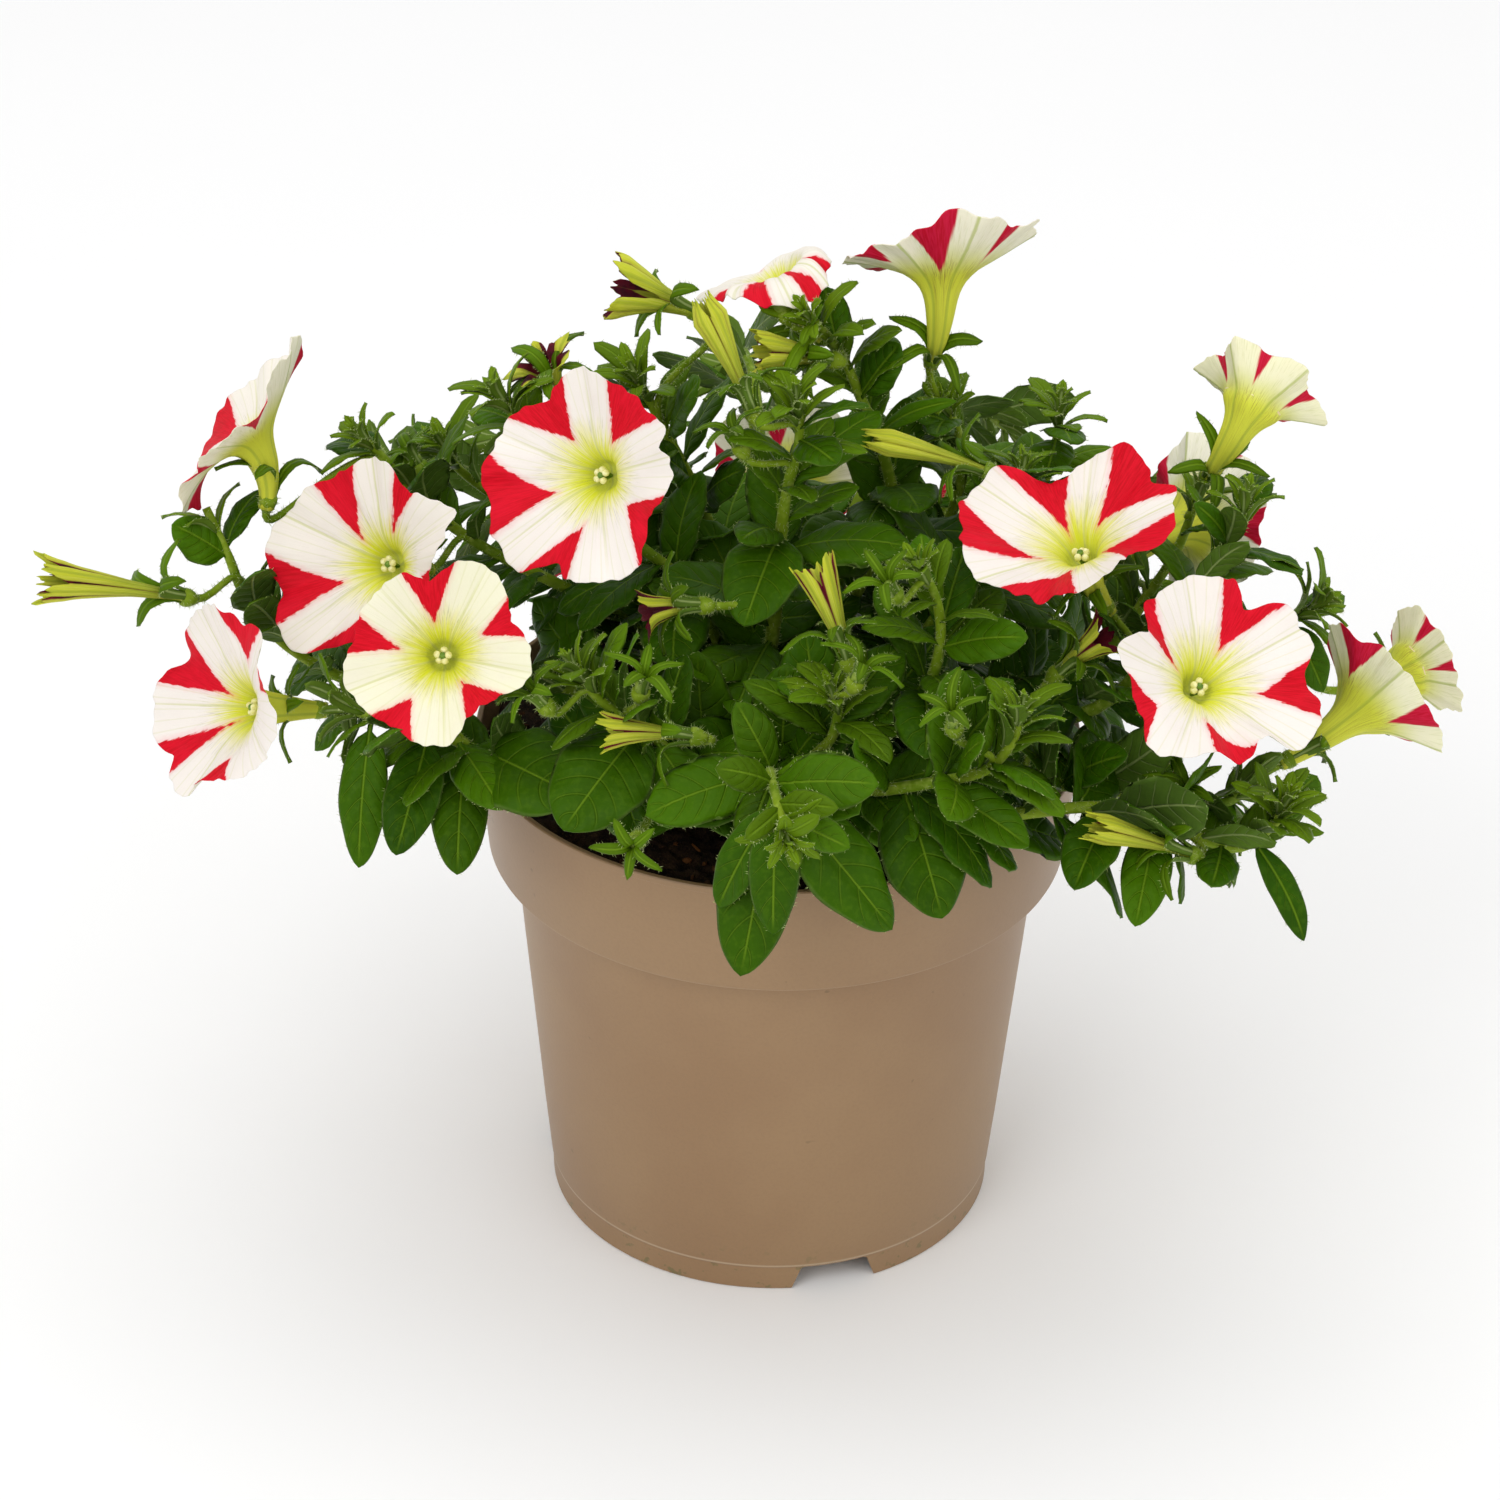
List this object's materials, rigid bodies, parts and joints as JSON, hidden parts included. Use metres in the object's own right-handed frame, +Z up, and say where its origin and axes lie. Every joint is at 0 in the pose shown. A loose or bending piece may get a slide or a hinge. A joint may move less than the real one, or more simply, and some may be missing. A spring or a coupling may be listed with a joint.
{
  "type": "potted petunia",
  "caption": "Bushy petunia with striped trumpet flowers, furled faded ones and leafy branching stems, growing in peat in a round tapered nursery pot.",
  "frame": {"origin": "middle of the pot's foot, on the surface it stands on", "axes": "+Z up along the pot's axis; +X along the plant's widest spread, to the right seen from the front; +Y towards the back"},
  "size_m": [0.4391, 0.3166, 0.3447],
  "materials": {
    "pot": "satin",
    "soil": "matte",
    "petal": "matte",
    "faded_petal": "matte",
    "stem": "matte",
    "leaf": "matte"
  },
  "bodies": {
    "root": {"faded_flower_far_left": "faded_petal", "faded_flower_long_bud": "faded_petal", "faded_flower_middle": "faded_petal", "faded_flower_middle_left": "faded_petal", "faded_flower_middle_low": "faded_petal", "faded_flower_right_bottom": "faded_petal", "faded_flower_right_middle": "faded_petal", "faded_flower_top_front": "faded_petal", "faded_flower_top_left": "faded_petal", "faded_flower_top_middle": "faded_petal", "faded_flower_upper_left": "faded_petal", "flower_behind": "petal", "flower_behind_left": "petal", "flower_behind_right": "petal", "flower_far_right": "petal", "flower_far_right_small": "petal", "flower_left_front": "petal", "flower_left_low": "petal", "flower_left_side": "petal", "flower_left_upper": "petal", "flower_right_behind": "petal", "flower_right_front": "petal", "flower_right_top": "petal", "flower_right_upper": "petal", "flower_top": "petal", "flower_top_right": "petal", "flower_upper_left": "petal", "leaf_centre_high": "leaf", "leaf_front_hanging": "leaf", "leaf_left_rim": "leaf", "leaf_rim_right": "leaf", "leafy_stem_behind": "stem", "leafy_stem_behind_far_left": "stem", "leafy_stem_behind_far_right": "stem", "leafy_stem_behind_left": "stem", "leafy_stem_behind_right": "stem", "leafy_stem_centre": "stem", "leafy_stem_centre_front": "stem", "leafy_stem_centre_right": "stem", "leafy_stem_far_left": "stem", "leafy_stem_far_right": "stem", "leafy_stem_front_centre": "stem", "leafy_stem_front_left": "stem", "leafy_stem_front_right": "stem", "leafy_stem_left_back": "stem", "leafy_stem_left_front": "stem", "leafy_stem_left_top": "stem", "leafy_stem_right_bottom": "stem", "leafy_stem_right_bud": "stem", "leafy_stem_right_low": "stem", "leafy_stem_right_side": "stem", "leafy_stem_right_top": "stem", "leafy_stem_right_up": "stem", "leafy_stem_top": "stem", "leafy_stem_top_left": "stem", "leafy_stem_top_right": "stem", "leafy_stem_upper_left": "stem", "pot": "pot", "potting_soil": "soil"}
  },
  "joints": []
}
